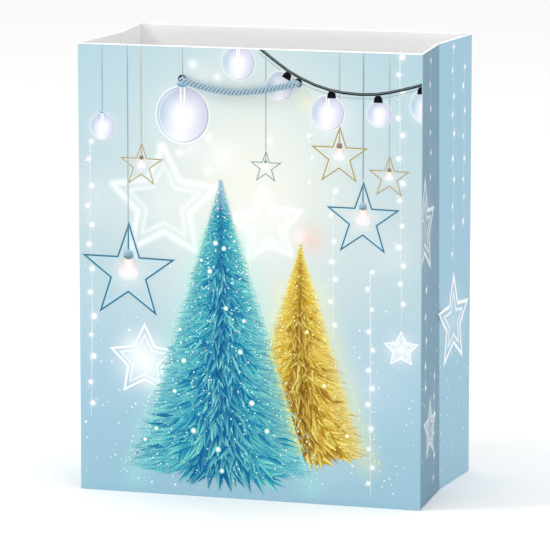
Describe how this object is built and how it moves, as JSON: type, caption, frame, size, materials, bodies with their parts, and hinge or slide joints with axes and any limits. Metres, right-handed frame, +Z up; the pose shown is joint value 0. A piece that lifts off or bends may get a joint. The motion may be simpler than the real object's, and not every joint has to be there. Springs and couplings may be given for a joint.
{
  "type": "gift bag",
  "caption": "Upright paper gift bag with folding side gussets, a glued layered base, turned-in top and twisted rope handles knotted inside.",
  "frame": {"origin": "centre of the base, on the surface that the bag stands on", "axes": "+Z up, +X to the right of the printed front, -Y out of the front"},
  "size_m": [0.18, 0.108, 0.23],
  "materials": {
    "printed_paper": "gloss laminated print",
    "white_paper": "matte uncoated white",
    "greyboard": "matte",
    "rope": "twisted satin cord"
  },
  "bodies": {
    "back": {"back_wall": "printed_paper", "back_top_board": "greyboard", "back_hem": "white_paper", "glue_lap": "white_paper", "base_front_flap": "printed_paper", "base_rear_flap": "printed_paper", "base_left_flap": "printed_paper", "base_right_flap": "printed_paper", "base_board": "greyboard", "back_handle_left_end": "rope", "back_handle_left_knot": "rope", "back_handle_right_end": "rope", "back_handle_right_knot": "rope"},
    "right_gusset_rear": {"right_gusset_rear": "printed_paper", "right_gusset_rear_hem": "white_paper"},
    "right_gusset_front": {"right_gusset_front": "printed_paper", "right_gusset_front_hem": "white_paper"},
    "front": {"front_wall": "printed_paper", "front_top_board": "greyboard", "front_hem": "white_paper", "front_handle_left_end": "rope", "front_handle_left_knot": "rope", "front_handle_right_end": "rope", "front_handle_right_knot": "rope"},
    "left_gusset_rear": {"left_gusset_rear": "printed_paper", "left_gusset_rear_hem": "white_paper"},
    "left_gusset_front": {"left_gusset_front": "printed_paper", "left_gusset_front_hem": "white_paper"},
    "front_handle": {"front_handle_loop": "rope"},
    "back_handle": {"back_handle_loop": "rope"}
  },
  "joints": [
    {"name": "right_rear_crease", "type": "hinge", "parent": "back", "child": "right_gusset_rear", "pos_m": [0.0895, 0.0496, 0.115], "axis": [0, 0, -1], "range_deg": [0, 75.4]},
    {"name": "right_middle_crease", "type": "hinge", "parent": "right_gusset_rear", "child": "right_gusset_front", "pos_m": [0.086, 0, 0.115], "axis": [0, 0, 1], "range_deg": [0, 150.8]},
    {"name": "right_front_crease", "type": "hinge", "parent": "right_gusset_front", "child": "front", "pos_m": [0.0895, -0.0496, 0.115], "axis": [0, 0, -1], "range_deg": [0, 75.4]},
    {"name": "left_rear_crease", "type": "hinge", "parent": "back", "child": "left_gusset_rear", "pos_m": [-0.0895, 0.0496, 0.115], "axis": [0, 0, 1], "range_deg": [0, 75.4]},
    {"name": "left_middle_crease", "type": "hinge", "parent": "left_gusset_rear", "child": "left_gusset_front", "pos_m": [-0.086, 0, 0.115], "axis": [0, 0, -1], "range_deg": [0, 150.8]},
    {"name": "front_handle_swing", "type": "hinge", "parent": "front", "child": "front_handle", "pos_m": [-0.00425, -0.0523, 0.2134], "axis": [-1, 0, 0], "range_deg": [0, 175]},
    {"name": "back_handle_swing", "type": "hinge", "parent": "back", "child": "back_handle", "pos_m": [-0.00425, 0.0523, 0.2134], "axis": [1, 0, 0], "range_deg": [0, 175]}
  ],
  "couplings": [
    {"joint": "right_middle_crease", "follows": "right_rear_crease", "ratio": 2},
    {"joint": "right_front_crease", "follows": "right_rear_crease", "ratio": 1},
    {"joint": "left_rear_crease", "follows": "right_rear_crease", "ratio": 1},
    {"joint": "left_middle_crease", "follows": "right_rear_crease", "ratio": 2}
  ]
}
